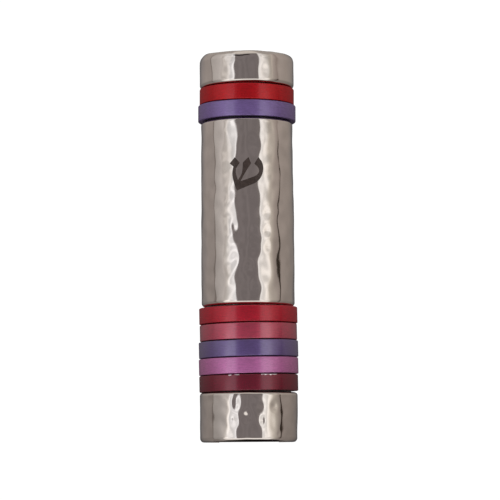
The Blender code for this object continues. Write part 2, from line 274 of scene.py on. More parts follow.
class Tree:
    """Short calls that add shader nodes and link them."""

    def __init__(self, tree):
        self.tree = tree

    def add(self, kind, inputs=None, **settings):
        node = self.tree.nodes.new(kind)
        for key, value in settings.items():
            setattr(node, key, value)
        for key, value in (inputs or {}).items():
            self.set(node.inputs[key], value)
        return node

    def set(self, socket, value):
        if isinstance(value, bpy.types.NodeSocket):
            self.tree.links.new(value, socket)
        else:
            socket.default_value = value

    def math(self, operation, a, b=0.0, c=0.0):
        return self.add("ShaderNodeMath", {0: a, 1: b, 2: c}, operation=operation).outputs[0]

    def ramp(self, factor, stops):
        """stops are (position, colour); a single number is a grey."""
        node = self.add("ShaderNodeValToRGB", {"Fac": factor})
        elements = node.color_ramp.elements
        while len(elements) < len(stops):
            elements.new(0.5)
        for element, (position, colour) in zip(elements, stops):
            element.position = position
            grey = isinstance(colour, (int, float))
            element.color = (colour, colour, colour, 1.0) if grey else (*colour, 1.0)
        return node.outputs["Color"]

    def noise(self, vector, scale, detail=2.0, roughness=0.5):
        inputs = {"Vector": vector, "Scale": scale, "Detail": detail, "Roughness": roughness}
        return self.add("ShaderNodeTexNoise", inputs).outputs["Fac"]

    def mix(self, factor, a, b, blend="MIX"):
        node = self.add("ShaderNodeMix", data_type="RGBA", blend_type=blend)
        self.set(node.inputs["Factor"], factor)
        self.set(node.inputs["A"], a)
        self.set(node.inputs["B"], b)
        return node.outputs["Result"]

    def spread(self, value, low, high, start=0.0, end=1.0):
        """Maps start..end to low..high."""
        inputs = {"From Min": start, "From Max": end, "To Min": low, "To Max": high}
        return self.add("ShaderNodeMapRange", {"Value": value, **inputs}).outputs["Result"]

    def step(self, value, start, end):
        """Rises smoothly from 0 at start to 1 at end."""
        inputs = {"Value": value, "From Min": start, "From Max": end}
        node = self.add("ShaderNodeMapRange", inputs, interpolation_type="SMOOTHSTEP")
        return node.outputs["Result"]

    def bump(self, shader, height, strength, distance):
        inputs = {"Height": height, "Strength": strength, "Distance": distance}
        normal = self.add("ShaderNodeBump", inputs).outputs["Normal"]
        self.set(shader.inputs["Normal"], normal)


def new_material(name):
    """A Principled material, its shader and its tree, with the object's coordinates."""
    material = bpy.data.materials.new(name)
    material.use_nodes = True
    tree = Tree(material.node_tree)
    shader = material.node_tree.nodes["Principled BSDF"]
    coordinates = tree.add("ShaderNodeTexCoord").outputs["Object"]
    return material, shader, tree, coordinates


def scaled(tree, coordinates, scale):
    return tree.add("ShaderNodeMapping", {"Vector": coordinates, "Scale": scale}).outputs["Vector"]


# Materials


def hammered_metal():
    """Polished white metal, with fine polishing marks and a little haze in the dishes."""
    material, shader, tree, place = new_material("hammered_metal")
    cloud = tree.noise(place, 420.0, 3.0)
    grain = tree.noise(scaled(tree, place, (1.0, 1.0, 0.35)), 9000.0, 2.0, 0.6)
    tones = ((0.3, (0.64, 0.590, 0.545)), (0.7, (0.68, 0.630, 0.585)))
    tree.set(shader.inputs["Base Color"], tree.ramp(cloud, tones))
    shader.inputs["Metallic"].default_value = 1.0
    tree.set(shader.inputs["Roughness"], tree.spread(cloud, 0.04, 0.08))
    tree.bump(shader, grain, 0.12, 0.01 * MM)
    return material


def anodised(name, colour, gloss, roughness, worn=None):
    """Turned aluminium dyed under a clear oxide: fine streaks run round the ring. Above the
    height worn, the front edge is bare and bright in spots."""
    material, shader, tree, place = new_material(name)
    streaks = tree.noise(scaled(tree, place, (700.0, 700.0, 5200.0)), 1.0, 3.0, 0.65)
    grain = tree.noise(place, 6500.0, 2.0, 0.6)
    texture = tree.math("MULTIPLY_ADD", grain, 0.4, tree.math("MULTIPLY", streaks, 0.6))
    light = tuple(min(1.0, part * (1 + DYE_CONTRAST)) for part in colour)
    dark = tuple(part * (1 - DYE_CONTRAST) for part in colour)
    dye = tree.ramp(texture, ((0.36, dark), (0.64, light)))
    rough = tree.spread(texture, roughness - RING_GRAIN, roughness + RING_GRAIN)
    if worn:
        axes = tree.add("ShaderNodeSeparateXYZ", {"Vector": place}).outputs
        wear = tree.math("MULTIPLY_ADD", tree.noise(place, 900.0), WORN_REACH, axes["Z"])
        front = tree.math("LESS_THAN", axes["Y"], AXIS.y)
        bare = tree.math("MULTIPLY", tree.math("GREATER_THAN", wear, worn), front)
        spots = [tree.math("COMPARE", axes["X"], x * MM, half * MM) for x, half in WORN_SPOTS]
        bare = tree.math("MULTIPLY", bare, tree.math("MAXIMUM", *spots))
        dye = tree.mix(bare, dye, (0.85, 0.83, 0.83, 1.0))
        rough = tree.math("MULTIPLY_ADD", bare, -0.3, rough)
    tree.set(shader.inputs["Base Color"], dye)
    shader.inputs["Metallic"].default_value = 1.0
    tree.set(shader.inputs["Roughness"], rough)
    shader.inputs["Coat Weight"].default_value = gloss
    shader.inputs["Coat Roughness"].default_value = 0.22
    shader.inputs["Coat IOR"].default_value = 2.0
    shader.inputs["Specular Tint"].default_value = (0.5, 0.5, 0.5, 1.0)
    tree.bump(shader, texture, 0.3, 0.03 * MM)
    return material


def enamel():
    material, shader, tree, place = new_material("black_enamel")
    cloud = tree.noise(place, 900.0, 3.0)
    tones = ((0.3, (0.029, 0.018, 0.014)), (0.7, (0.053, 0.034, 0.028)))
    tree.set(shader.inputs["Base Color"], tree.ramp(cloud, tones))
    tree.set(shader.inputs["Roughness"], tree.spread(cloud, 0.35, 0.55))
    tree.bump(shader, cloud, 0.3, 0.03 * MM)
    return material


def rubber():
    material, shader, tree, place = new_material("black_rubber")
    speckle = tree.noise(place, 2500.0, 3.0)
    tones = ((0.3, (0.018, 0.018, 0.019)), (0.7, (0.032, 0.032, 0.034)))
    tree.set(shader.inputs["Base Color"], tree.ramp(speckle, tones))
    tree.set(shader.inputs["Roughness"], tree.spread(speckle, 0.55, 0.75))
    tree.bump(shader, speckle, 0.3, 0.03 * MM)
    return material


def parchment():
    """Scraped skin: cream, with clouds, pores and faint fibres across the sheet."""
    material, shader, tree, place = new_material("parchment")
    cloud = tree.noise(place, 110.0, 4.0, 0.6)
    fibre = tree.noise(scaled(tree, place, (1500.0, 1500.0, 260.0)), 1.0, 4.0, 0.65)
    tones = ((0.30, (0.62, 0.49, 0.31)), (0.5, (0.76, 0.64, 0.44)), (0.72, (0.83, 0.73, 0.54)))
    tinted = tree.mix(0.25, tree.ramp(cloud, tones), tree.ramp(fibre, tones))
    tree.set(shader.inputs["Base Color"], tinted)
    tree.set(shader.inputs["Roughness"], tree.spread(fibre, 0.55, 0.8))
    tree.bump(shader, fibre, 0.4, 0.05 * MM)
    return material


def foam():
    material, shader, tree, place = new_material("foam_tape")
    cells = tree.add("ShaderNodeTexVoronoi", {"Vector": place, "Scale": 3200.0})
    hollow = cells.outputs["Distance"]
    tones = ((0.0, (0.70, 0.70, 0.68)), (0.6, (0.84, 0.84, 0.82)))
    tree.set(shader.inputs["Base Color"], tree.ramp(hollow, tones))
    tree.set(shader.inputs["Roughness"], tree.spread(hollow, 0.45, 0.7))
    tree.bump(shader, hollow, 0.4, 0.06 * MM)
    return material


def extruded_aluminium():
    """Mill-finish aluminium with the lines of its die along it. Its round front, where the sleeves
    and rings are glued on, is painted near black and not metallic: painted shade that darkens the
    gaps between them."""
    material, shader, tree, place = new_material("tube_aluminium")
    lines = tree.noise(scaled(tree, place, (4200.0, 4200.0, 25.0)), 1.0, 4.0, 0.6)
    tones = ((0.3, (0.52, 0.525, 0.535)), (0.7, (0.66, 0.665, 0.675)))
    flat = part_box("core_tube")[1].y
    depth = tree.add("ShaderNodeSeparateXYZ", {"Vector": place}).outputs["Y"]
    # Painted shade: in front of this mask the tube is near black and not metallic, so the gaps
    # between the sleeves and rings read dark.
    bare = tree.math("GREATER_THAN", depth, flat - PAINTED_SHADE_EDGE)
    colour = tree.mix(bare, (0.006, 0.006, 0.006, 1.0), tree.ramp(lines, tones))
    tree.set(shader.inputs["Base Color"], colour)
    tree.set(shader.inputs["Metallic"], bare)
    tree.set(shader.inputs["Roughness"], tree.spread(lines, 0.28, 0.46))
    tree.bump(shader, lines, 0.3, 0.02 * MM)
    return material


# Making and joining pieces


def new_piece(name, points, faces):
    """A mesh object in the row frame from points about the axis."""
    mesh = bpy.data.meshes.new(name)
    mesh.from_pydata([tuple(p) for p in points], [], faces)
    shape = bmesh.new()
    shape.from_mesh(mesh)
    bmesh.ops.recalc_face_normals(shape, faces=shape.faces)
    bmesh.ops.translate(shape, vec=AXIS, verts=shape.verts)
    shape.to_mesh(mesh)
    shape.free()
    piece = bpy.data.objects.new(name, mesh)
    bpy.context.scene.collection.objects.link(piece)
    return piece


def loft(name, loops):
    """A solid through outlines with the same number of points, closed at both ends."""
    count = len(loops[0])
    faces = [tuple(range(count)), tuple((len(loops) - 1) * count + i for i in range(count))]
    for row in range(len(loops) - 1):
        for i in range(count):
            here, there = row * count + i, row * count + (i + 1) % count
            faces.append((here, there, there + count, here + count))
    return new_piece(name, np.concatenate(loops), faces)


def round_loop(radius, height, y=0.0):
    angle = np.arange(CUTTER_SEGMENTS) * math.tau / CUTTER_SEGMENTS
    flat = [radius * np.cos(angle), y + radius * np.sin(angle), np.full_like(angle, height)]
    return np.column_stack(flat)


def flat_backed_loop(radius, back, height):
    """An arc in front and a chord at the back."""
    end = math.asin(back / radius)
    angle = end - np.linspace(0.0, 1.0, OUTLINE_STEPS + 1) * (math.pi + 2 * end)
    arc = np.column_stack([radius * np.cos(angle), radius * np.sin(angle)])
    across = np.linspace(arc[-1, 0], arc[0, 0], CHORD_STEPS + 1)[1:-1]
    outline = np.concatenate([arc, np.column_stack([across, np.full_like(across, back)])])
    return np.column_stack([outline, np.full(len(outline), height)])


def slab(name, skins, columns, rows):
    """A sheet between two skins, each a grid of points row by row."""
    wide = columns + 1
    count = wide * (rows + 1)
    faces = []
    for row in range(rows):
        for column in range(columns):
            i = row * wide + column
            faces.append((i, i + 1, i + wide + 1, i + wide))
            faces.append((count + i, count + i + wide, count + i + wide + 1, count + i + 1))
    rim = list(range(wide))
    rim += [row * wide + columns for row in range(1, rows + 1)]
    rim += [rows * wide + column for column in range(columns - 1, -1, -1)]
    rim += [row * wide for row in range(rows - 1, 0, -1)]
    for i, here in enumerate(rim):
        there = rim[(i + 1) % len(rim)]
        faces.append((here, count + here, count + there, there))
    return new_piece(name, np.concatenate(skins), faces)


def rounded_box(name, low, high, edge):
    """A box about the axis with rounded edges."""
    ends = list(zip(low, high))
    points = [(x, y, z) for x in ends[0] for y in ends[1] for z in ends[2]]
    faces = [(0, 1, 3, 2), (4, 6, 7, 5), (0, 4, 5, 1), (2, 3, 7, 6), (0, 2, 6, 4), (1, 5, 7, 3)]
    piece = new_piece(name, points, faces)
    shape = bmesh.new()
    shape.from_mesh(piece.data)
    bmesh.ops.bevel(shape, geom=shape.edges[:], offset=edge, segments=4, profile=0.5, affect="EDGES")
    shape.to_mesh(piece.data)
    shape.free()
    return piece


def cut(piece, operation, other):
    """Applies a Boolean with another object, which is then removed."""
    modifier = piece.modifiers.new("cut", "BOOLEAN")
    modifier.operation = operation
    modifier.object = other
    bpy.context.view_layer.update()
    graph = bpy.context.evaluated_depsgraph_get()
    mesh = bpy.data.meshes.new_from_object(piece.evaluated_get(graph))
    piece.modifiers.clear()
    piece.data = mesh
    bpy.data.objects.remove(other, do_unlink=True)


def finish_piece(piece, material, body, node):
    """Shades and paints a piece, ties it to its body, and puts it in the place of its CAD node."""
    piece.data.shade_smooth()
    piece.data.set_sharp_from_angle(angle=SHARP_ANGLE)
    piece.data.materials.clear()
    piece.data.materials.append(material)
    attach(piece, body)
    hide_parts(node)


# Hammer marks


def marks_round(spacing, seed, radius, bottom, top):
    """Where the hammer struck a round wall: a shaken triangular grid."""
    shake = np.random.default_rng(seed)
    rows = math.ceil((top - bottom) / (spacing * MARK_ROW)) + 2
    across = math.ceil(math.tau * radius / spacing)
    marks = []
    for row in range(rows):
        for column in range(across):
            dx, dz = shake.uniform(-MARK_SHAKE, MARK_SHAKE, 2)
            angle = math.tau * (column + 0.5 * (row % 2) + dx) / across
            height = bottom + spacing * MARK_ROW * (row - 0.5 + dz)
            marks.append((radius * math.cos(angle), radius * math.sin(angle), height))
    return np.array(marks)


def marks_flat(spacing, seed, radius, height):
    """Where the hammer struck a flat end, out to just beyond its edge."""
    shake = np.random.default_rng(seed)
    reach = math.ceil(radius / spacing) + 1
    marks = []
    for row in range(-reach, reach + 1):
        for column in range(-reach, reach + 1):
            dx, dy = shake.uniform(-MARK_SHAKE, MARK_SHAKE, 2)
            x = spacing * (column + 0.5 * (row % 2) + dx)
            y = spacing * MARK_ROW * (row + dy)
            if math.hypot(x, y) < radius:
                marks.append((x, y, height))
    return np.array(marks)


def dents(marks, look, blows, size):
    """Marks as (x, y, z, depth, width, tall): the chosen blows, and the others that leave
    them room."""
    shake = np.random.default_rng(look["seed"] + 1)
    chosen = []
    for degrees, height, depth, width, tall in blows:
        angle = math.radians(degrees)
        x, y = size["radius"] * math.sin(angle), -size["radius"] * math.cos(angle)
        chosen.append((x, y, size["bottom"] + height * MM, depth * MM, width * MM, tall))
    chosen = np.array(chosen).reshape(-1, 6)
    if len(chosen):
        gap = np.linalg.norm(marks[:, None, :] - chosen[None, :, :3], axis=2)
        marks = marks[gap.min(axis=1) > MARK_ROOM]
    depth = shake.uniform(*look["depth"], len(marks))
    width = shake.uniform(*look["width"], len(marks))
    tall = shake.uniform(*MARK_TALL, len(marks))
    return np.concatenate([chosen, np.column_stack([marks, depth, width, tall])])


def hammered(points, marks, level=None):
    """The height of a hammered surface at points. Its mean is zero unless it is measured from
    a level of its own."""
    place, (depth, width, tall) = marks[:, :3], marks[:, 3:].T
    heights = []
    for chunk in np.array_split(points, max(1, len(points) // POINTS_AT_ONCE)):
        gap = (chunk[:, None, :] - place[None, :, :]) ** 2
        gap = gap[:, :, 0] + gap[:, :, 1] + gap[:, :, 2] / tall**2
        heights.append(-(depth * np.exp(-gap / (2 * width**2))).sum(axis=1))
    height = np.concatenate(heights)
    return height - (height.mean() if level is None else level)


# Bands: sleeves and rings that are open at the back


def arc_points(centre_r, centre_z, radius, start, end, steps=ARC_STEPS, rise=None):
    """(radius, height, outward radial, outward axial) along a rounded edge, in degrees. The
    edge is elliptical where its rise is given."""
    rise = rise or radius
    points = []
    for angle in np.radians(np.linspace(start, end, steps + 1)):
        outward = Vector((math.cos(angle) / radius, math.sin(angle) / rise)).normalized()
        place = (centre_r + radius * math.cos(angle), centre_z + rise * math.sin(angle))
        points.append((*place, outward.x, outward.y))
    return points


def band_profile(radius, bottom, top, foot, head, step):
    """The section of a band, from its bore at the bottom round its outside and back."""
    rise = top - head - bottom - foot
    rows = max(1, round(rise / step))
    wall = [(radius, bottom + foot + rise * i / rows, 1.0, 0.0) for i in range(1, rows)]
    return np.array(
        [(BORE, bottom, 0.0, 0.0)]
        + arc_points(radius - foot, bottom + foot, foot, -90, 0)
        + wall
        + arc_points(radius - head, top - head, head, 0, 90)
        + [(BORE, top, 0.0, 0.0)]
    )


def band(name, profile, back, columns, surface=None):
    """Sweeps a section round the axis from one side of the flat back to the other."""
    radius, height, out_r, out_z = profile.T
    count = len(profile)
    end = np.arcsin(back / radius)[:, None]
    share = np.linspace(0.0, 1.0, columns + 1)[None, :]
    angle = end - share * (math.pi + 2 * end)
    points = np.stack(
        [
            radius[:, None] * np.cos(angle),
            radius[:, None] * np.sin(angle),
            np.broadcast_to(height[:, None], angle.shape),
        ],
        axis=2,
    )
    if surface:
        normal = np.stack(
            [
                out_r[:, None] * np.cos(angle),
                out_r[:, None] * np.sin(angle),
                np.broadcast_to(out_z[:, None], angle.shape),
            ],
            axis=2,
        )
        lift = surface(points.reshape(-1, 3)).reshape(angle.shape)
        points = points + normal * (lift * np.maximum(out_r, 0.0)[:, None])[:, :, None]
        for side, column in ((1.0, 0), (-1.0, columns)):
            reach = np.hypot(points[:, column, 0], points[:, column, 1])
            points[:, column, 0] = side * np.sqrt(reach**2 - back**2)
            points[:, column, 1] = back
    faces = []
    for i in range(count):
        here, there = i * (columns + 1), ((i + 1) % count) * (columns + 1)
        faces += [
            (here + k, here + k + 1, there + k + 1, there + k) for k in range(columns)
        ]
    faces.append([i * (columns + 1) for i in range(count)])
    faces.append([i * (columns + 1) + columns for i in reversed(range(count))])
    return new_piece(name, points.reshape(-1, 3), faces)


# The object's pieces


def make_base(metal):
    size = measure("base_sleeve")
    marks = marks_round(
        BASE_MARK["spacing"], BASE_MARK["seed"], size["radius"], size["bottom"], size["top"]
    )
    marks = dents(marks, BASE_MARK, BASE_BLOWS, size)
    profile = band_profile(
        size["radius"], size["bottom"], size["top"], BASE_FOOT_EDGE, BASE_HEAD_EDGE, HAMMER_STEP
    )
    base = band(
        "hammered_base",
        profile,
        size["back"],
        BAND_COLUMNS,
        lambda points: hammered(points, marks),
    )
    finish_piece(base, metal, "case", "base_sleeve")


def body_surface():
    marks = marks_round(
        BODY_MARK["spacing"], BODY_MARK["seed"], BODY["radius"], BODY["bottom"], BODY["top"]
    )
    marks = dents(marks, BODY_MARK, BODY_BLOWS, BODY)
    return lambda points: hammered(points, marks)


def make_body(metal, surface):
    profile = band_profile(
        BODY["radius"], BODY["bottom"], BODY["top"], BODY_FOOT_EDGE, BODY_HEAD_EDGE, HAMMER_STEP
    )
    body = band("hammered_body", profile, BODY["back"], BAND_COLUMNS, surface)
    pocket = shin_prism("shin_pocket", 0.0)
    cut(pocket, "DIFFERENCE", plain_cylinder(BODY["radius"] - POCKET_DEPTH))
    cut(body, "DIFFERENCE", pocket)
    finish_piece(body, metal, "case", "body_sleeve")


def plain_cylinder(radius, bottom=None, top=None):
    """A round cutter about the axis, as tall as the body unless told."""
    bottom = BODY["bottom"] if bottom is None else bottom
    top = BODY["top"] if top is None else top
    return loft("cutter", [round_loop(radius, bottom), round_loop(radius, top)])


def shin_points():
    """The letter's outline about its centre, with its smooth stretches as short steps."""
    knots = [Vector((x * MM, z * MM)) for x, z, _ in SHIN_OUTLINE]
    corners = [is_corner for _, _, is_corner in SHIN_OUTLINE]
    count = len(knots)
    points = []
    for i in range(count):
        here, there = knots[i], knots[(i + 1) % count]
        reach = (there - here).length / 3
        leaving = here + (there - here) / 3
        if not corners[i]:
            leaving = here + (there - knots[i - 1]).normalized() * reach
        arriving = there - (there - here) / 3
        if not corners[(i + 1) % count]:
            beyond = knots[(i + 2) % count]
            arriving = there - (beyond - here).normalized() * reach
        straight = corners[i] and corners[(i + 1) % count]
        steps = 1 if straight else SHIN_CURVE_STEPS
        points += interpolate_bezier(here, leaving, arriving, there, steps + 1)[:-1]
    return [point.to_2d() for point in points]


def grown(points, distance):
    """Moves an anticlockwise outline's sides outwards."""
    moved = []
    for i, point in enumerate(points):
        before = (point - points[i - 1]).normalized()
        after = (points[(i + 1) % len(points)] - point).normalized()
        out_after = Vector((after.y, -after.x))
        middle = Vector((before.y, -before.x)) + out_after
        moved.append(point + middle * (distance / max(middle.dot(out_after), 0.5)))
    return moved


def shin_prism(name, growth):
    """The letter as a solid through the front wall of the body."""
    low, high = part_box("shin_inlay")
    middle = (low + high) / 2
    outline = grown(shin_points(), growth)
    near, far = -BODY["radius"] - SHIN_REACH, -BODY["radius"] + 2 * SHIN_REACH
    rings = [
        [(middle.x + p.x, depth, middle.z + p.y) for p in outline] for depth in (near, far)
    ]
    count = len(outline)
    faces = [tuple(range(count)), tuple(range(2 * count - 1, count - 1, -1))]
    faces += [(i, (i + 1) % count, count + (i + 1) % count, count + i) for i in range(count)]
    return new_piece(name, rings[0] + rings[1], faces)


def make_shin(material, surface):
    """The enamel follows the hammered face of the body, a little below it."""
    low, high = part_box("shin_inlay")
    half = SHIN_PATCH_ANGLE
    columns = round(2 * half * BODY["radius"] / HAMMER_STEP)
    rows = round((high.z - low.z + 2 * SHIN_REACH) / HAMMER_STEP)
    angles = np.linspace(-math.pi / 2 - half, -math.pi / 2 + half, columns + 1)
    heights = np.linspace(low.z - SHIN_REACH, high.z + SHIN_REACH, rows + 1)
    angle, height = np.meshgrid(angles, heights)

    def shell(radius):
        return np.stack([radius * np.cos(angle), radius * np.sin(angle), height], axis=2)

    face = shell(BODY["radius"])
    lift = surface(face.reshape(-1, 3)).reshape(angle.shape)
    front = shell(BODY["radius"] + lift - ENAMEL_DROP).reshape(-1, 3)
    behind = shell(BODY["radius"] - INLAY_DEPTH).reshape(-1, 3)
    inlay = slab("shin_enamel", [front, behind], columns, rows)
    cut(inlay, "INTERSECT", shin_prism("shin_shape", -INLAY_CLEARANCE))
    finish_piece(inlay, material, "case", "shin_inlay")


def make_cap(metal):
    """The closed cap: hammered on top and round its wall, milled flat at the back."""
    size = measure("top_cap")
    radius, bottom, top, back = size["radius"], size["bottom"], size["top"], size["back"]
    wall_marks = marks_round(CAP_MARK["spacing"], CAP_MARK["seed"], radius, bottom, top)
    rim, shoulder = radius - CAP_HEAD_EDGE, top - CAP_HEAD_DROP
    end_marks = marks_flat(CAP_MARK["spacing"], CAP_END_SEED, rim, top)
    marks = dents(np.concatenate([wall_marks, end_marks]), CAP_MARK, CAP_BLOWS, size)
    rows = round(rim / CAP_STEP)
    foot = bottom + CAP_FOOT_EDGE
    wall_rows = round((shoulder - foot) / HAMMER_STEP)
    head_arc = arc_points(rim, shoulder, CAP_HEAD_EDGE, 90, 0, CAP_HEAD_STEPS, CAP_HEAD_DROP)
    foot_arc = arc_points(radius - CAP_FOOT_EDGE, foot, CAP_FOOT_EDGE, 0, -90)
    section = [(rim, top, 0.0, 1.0, (i + 1) / rows) for i in range(rows)]
    section += [(*point, 1.0) for point in head_arc[1:]]
    section += [
        (radius, shoulder - (shoulder - foot) * i / wall_rows, 1.0, 0.0, 1.0)
        for i in range(1, wall_rows)
    ]
    section += [(*point, 1.0) for point in foot_arc]
    loops = [cap_loop(back, marks, *line) for line in section]
    count = len(loops[0])
    points = np.concatenate([*loops, [[0.0, 0.0, top]]])
    faces = []
    for row in range(len(loops) - 1):
        for i in range(count):
            here, there = row * count + i, row * count + (i + 1) % count
            faces.append((here, there, there + count, here + count))
    tip = len(points) - 1
    faces += [(tip, (i + 1) % count, i) for i in range(count)]
    faces.append(tuple((len(loops) - 1) * count + i for i in range(count)))
    cap = new_piece("hammered_cap", points, faces)
    cut(cap, "DIFFERENCE", plain_cylinder(BORE, bottom - 2 * MM, top - CAP_ROOF))
    finish_piece(cap, metal, "case", "top_cap")


def cap_loop(back, marks, radius, height, out_r, out_z, share):
    """One closed line round the cap: an arc in front and a chord along its flat back, drawn in
    towards the axis to its share of the radius."""
    end = math.asin(back / radius)
    angle = end - np.linspace(0.0, 1.0, BAND_COLUMNS + 1) * (math.pi + 2 * end)
    arc = np.stack([np.cos(angle) * radius, np.sin(angle) * radius], axis=1)
    across = np.linspace(arc[-1, 0], arc[0, 0], CAP_CHORD_STEPS + 1)[1:-1]
    chord = np.stack([across, np.full_like(across, back)], axis=1)
    flat = np.concatenate([arc, chord]) * share
    points = np.column_stack([flat, np.full(len(flat), height)])
    lift = hammered(points, marks, CAP_LEVEL)
    outward = np.zeros_like(points)
    outward[: len(arc), :2] = arc / radius * out_r
    outward[:, 2] = max(out_z, 0.0)
    if out_z < 0:
        lift = lift * out_r
    points += outward * lift[:, None]
    for side, column in ((1.0, 0), (-1.0, len(arc) - 1)):
        if share == 1.0:
            reach = math.hypot(points[column, 0], points[column, 1])
            points[column, 0] = side * math.sqrt(reach**2 - back**2)
            points[column, 1] = back
    return points


def make_ring(node):
    size = measure(node)
    bottom, top = size["bottom"] - RING_SPREAD, size["top"] + RING_SPREAD
    profile = band_profile(size["radius"], bottom, top, RING_EDGE, RING_EDGE, top - bottom)
    ring = band("fine_" + node, profile, size["back"], RING_COLUMNS)
    middle = Vector((0.0, AXIS.y, (size["bottom"] + size["top"]) / 2))
    tilt = Euler((0.0, math.radians(RING_TILT[node]), 0.0)).to_matrix().to_4x4()
    ring.data.transform(Matrix.Translation(middle) @ tilt @ Matrix.Translation(-middle))
    worn = top + WORN_LEVEL if node == WORN_RING else None
    dyed = anodised("anodised_" + node, *RING_FINISH[node], worn)
    finish_piece(ring, dyed, "case", node)


def make_stopper(material):
    """A ribbed plug on a flange, with a cup on top for the parchment and a bar below to pull."""
    size = measure("stopper")
    radius, top = size["radius"], size["top"]
    foot = top - PLUG_HEIGHT
    bottom = foot - FLANGE_THICKNESS
    rim = radius - FLANGE_EDGE
    flange = arc_points(rim, bottom + FLANGE_EDGE, FLANGE_EDGE, -90, 0)
    flange += arc_points(rim, foot - FLANGE_EDGE, FLANGE_EDGE, 0, 90)
    levels = [(r, FLANGE_BACK - radius + r, z) for r, z, _, _ in flange]
    neck = PLUG_RADIUS - RIB_RISE
    levels += [(neck, PLUG_BACK, foot), (neck, PLUG_BACK, foot + RIB_RISE)]
    pitch = PLUG_HEIGHT / RIB_COUNT
    for rib in range(RIB_COUNT):
        for step in range(RIB_STEPS + 1):
            share = step / RIB_STEPS
            z = foot + pitch * (rib + 0.5) + RIB_HEIGHT * (share - 0.5)
            levels.append((neck + RIB_RISE * math.sin(math.pi * share), PLUG_BACK, z))
    levels += [
        (r, PLUG_BACK - neck + r, z)
        for r, z, _, _ in arc_points(neck - PLUG_EDGE, top - PLUG_EDGE, PLUG_EDGE, 0, 90)
    ]
    stopper = loft("rubber_stopper", [flat_backed_loop(*level) for level in levels])
    floor = top - CUP_DEPTH
    cup = [(CUP_RADIUS, floor), (CUP_RADIUS, top - CUP_MOUTH), (CUP_RADIUS + CUP_MOUTH, top)]
    cup.append((CUP_RADIUS + CUP_MOUTH, top + CUP_MOUTH))
    cut(stopper, "DIFFERENCE", loft("cup", [round_loop(r, z, SCROLL_BACK) for r, z in cup]))
    low = (-GRIP_LENGTH / 2, -GRIP_WIDTH / 2, bottom - GRIP_DROP)
    high = (GRIP_LENGTH / 2, GRIP_WIDTH / 2, bottom + FLANGE_THICKNESS / 2)
    cut(stopper, "UNION", rounded_box("grip", low, high, GRIP_EDGE))
    finish_piece(stopper, material, "stopper", "stopper")


def make_scroll(material):
    """A sheet rolled up, a little wavy as parchment is."""
    low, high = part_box("scroll")
    side = high.z - low.z
    mean = side / (math.tau * SCROLL_TURNS)
    first = mean - SCROLL_PITCH * SCROLL_TURNS / 2
    turn, share = np.meshgrid(
        np.linspace(0.0, SCROLL_TURNS, SCROLL_COLUMNS + 1), np.linspace(0.0, 1.0, SCROLL_ROWS + 1)
    )
    wave = np.sin(5.0 * share + 2.1 * turn) + 0.6 * np.sin(11.0 * share - 4.3 * turn)
    skins = []
    for offset in (0.5, -0.5):
        radius = first + SCROLL_PITCH * turn + SCROLL_WAVE * wave + offset * SHEET_THICKNESS
        x, y = radius * np.cos(math.tau * turn), radius * np.sin(math.tau * turn)
        skin = np.stack([x, y + SCROLL_BACK, low.z + side * share], axis=2)
        skins.append(skin.reshape(-1, 3))
    scroll = slab("rolled_parchment", skins, SCROLL_COLUMNS, SCROLL_ROWS)
    finish_piece(scroll, material, "scroll", "scroll")


def make_tape(material):
    low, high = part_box("mounting_tape")
    tape = rounded_box("foam_mounting_tape", low - AXIS, high - AXIS, TAPE_EDGE)
    finish_piece(tape, material, "case", "mounting_tape")


# Surroundings


# The light by direction. Azimuths are in degrees from the camera's side towards +X, and
# elevations in degrees above the horizon. A span is (low, high, blur), and 200 is no limit.
# A window is a span of azimuths and a span of elevations. Each panel is an azimuth and the
# colour of the light from there.
PANELS = (
    (-180, (0.09, 0.08, 0.08)),
    (-158, (0.16, 0.15, 0.15)),
    (-146, (0.28, 0.26, 0.26)),
    (-120, (0.395, 0.357, 0.342)),
    (-92.2, (0.385, 0.35, 0.338)),
    (-91.2, (0.21, 0.18, 0.17)),
    (-89.6, (0.21, 0.18, 0.17)),
    (-88.8, (0.50, 0.475, 0.465)),
    (-70, (0.60, 0.575, 0.57)),
    (-64, (0.67, 0.64, 0.635)),
    (-56, (0.795, 0.762, 0.743)),
    (-48, (0.995, 0.984, 0.99)),
    (-40, (1.19, 1.20, 1.248)),
    (-31, (1.29, 1.31, 1.38)),
    (-28.5, (0.255, 0.230, 0.235)),
    (-20, (0.242, 0.218, 0.225)),
    (20, (0.242, 0.218, 0.225)),
    (28, (0.270, 0.245, 0.245)),
    (30.5, (1.28, 1.28, 1.30)),
    (42, (1.18, 1.16, 1.15)),
    (50, (1.20, 1.17, 1.14)),
    (57, (0.82, 0.77, 0.71)),
    (64, (0.62, 0.57, 0.52)),
    (72, (0.47, 0.418, 0.389)),
    (82, (0.36, 0.31, 0.29)),
    (83.5, (0.30, 0.25, 0.23)),
    (87.2, (0.424, 0.377, 0.354)),
    (120, (0.370, 0.328, 0.305)),
    (146, (0.27, 0.245, 0.235)),
    (158, (0.16, 0.15, 0.15)),
    (180, (0.09, 0.08, 0.08)),
)
PANEL_GAIN = 1.5
LAMPS = (-62, 58, 3)
DIM_FRONT = (-28, 28, 3)
BLOT_SCALE = (7.0, 7.0, 14.0)
BLOT_NOISE = (0.35, 0.65)
BLOT_LIGHT = (0.82, 1.16)
DIM_BLOT_POWER = 0.4

# The sides brighten from one elevation to another.
SIDE_RISE = (-3, 12)
SIDE_LIGHT = (0.74, 1.17)

# Patches that are darker or brighter than their panels.
HIGH = (8, 200, 3.5)
LOW = (-40, 2.5, 1.5)
PATCHES = (
    # azimuths, elevations, and how many times as bright it is there
    ((45, 64, 3), HIGH, 0.68),
    ((24, 45, 3), HIGH, 0.86),
    ((-50, -30, 3), HIGH, 0.88),
    ((-56, -45, 4), LOW, 1.33),
)

